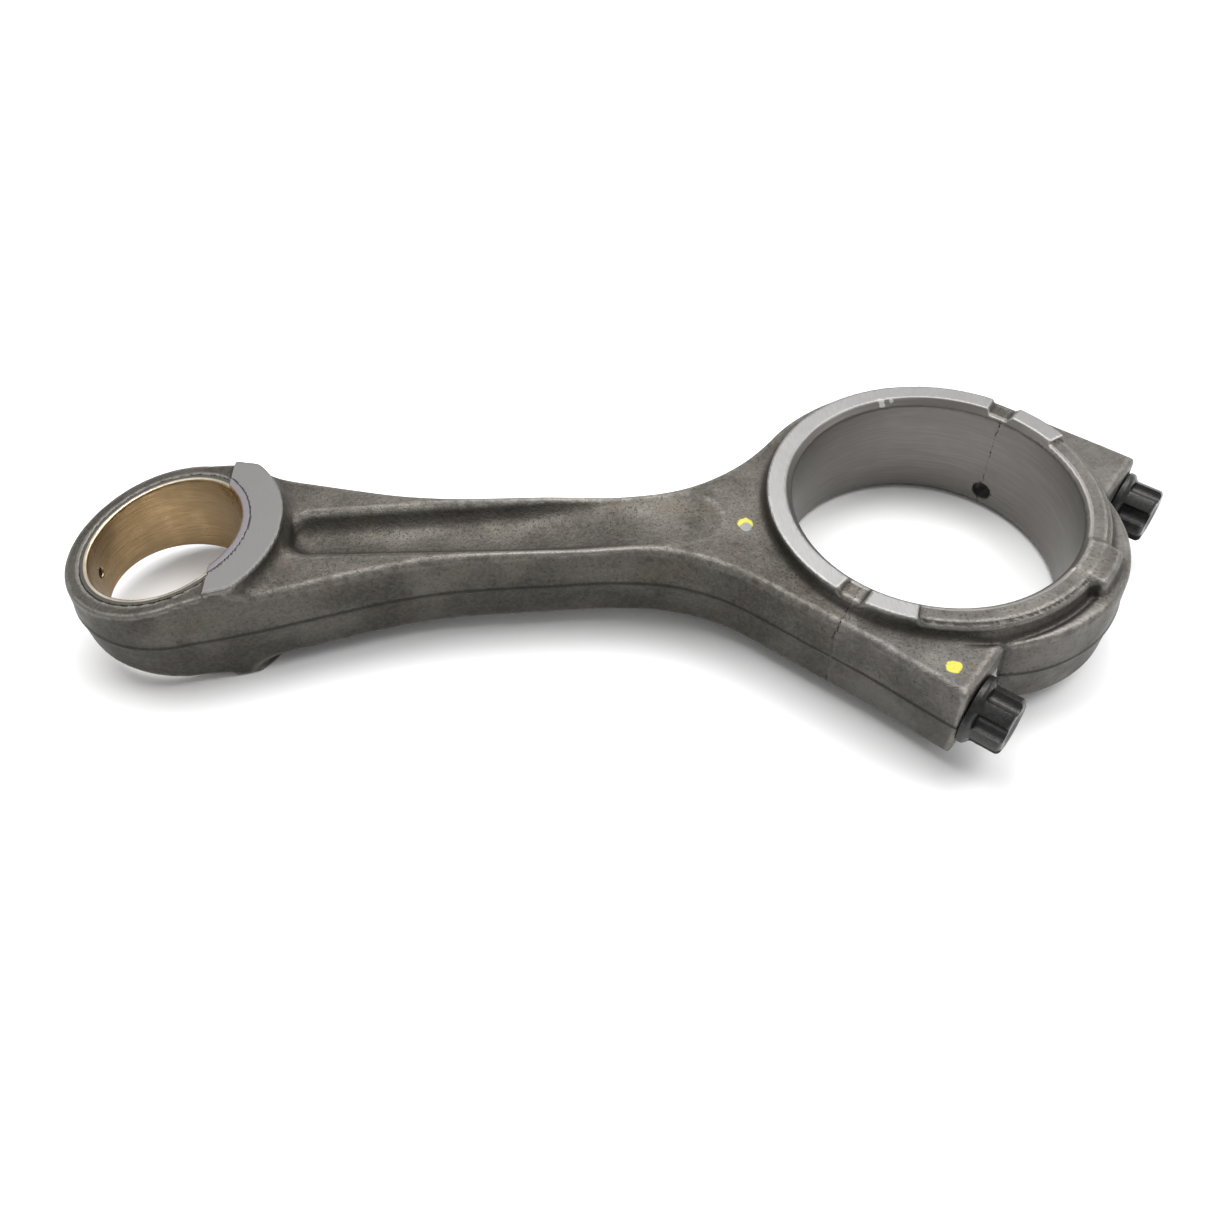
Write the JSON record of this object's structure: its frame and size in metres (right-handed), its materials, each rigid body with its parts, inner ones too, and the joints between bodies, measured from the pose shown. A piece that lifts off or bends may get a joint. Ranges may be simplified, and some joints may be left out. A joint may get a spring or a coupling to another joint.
{
  "type": "connecting rod",
  "caption": "Forged connecting rod with an obliquely split big end, bolted cap, bushed tapered small end and shallow channelled shank.",
  "frame": {"origin": "centre of the big-end bore at mid thickness", "axes": "+Z along both bores, +X from the small end towards the cap along the rod"},
  "size_m": [0.2816, 0.1117, 0.032],
  "materials": {
    "forged_steel": "satin",
    "cap_steel": "satin",
    "bush_bronze": "satin",
    "bolt_steel": "satin"
  },
  "bodies": {
    "rod": {"rod_forging": "forged_steel", "small_end_bush": "bush_bronze"},
    "cap": {"bearing_cap": "cap_steel"},
    "bolt_near": {"cap_bolt_near": "bolt_steel"},
    "bolt_far": {"cap_bolt_far": "bolt_steel"}
  },
  "joints": [
    {"name": "cap_slide", "type": "slide", "parent": "rod", "child": "cap", "axis": [0.7716, -0.6361, 0], "range_m": [0, 0.05]},
    {"name": "near_bolt_slide", "type": "slide", "parent": "cap", "child": "bolt_near", "axis": [0.7716, -0.6361, 0], "range_m": [0, 0.055]},
    {"name": "far_bolt_slide", "type": "slide", "parent": "cap", "child": "bolt_far", "axis": [0.7716, -0.6361, 0], "range_m": [0, 0.055]}
  ]
}
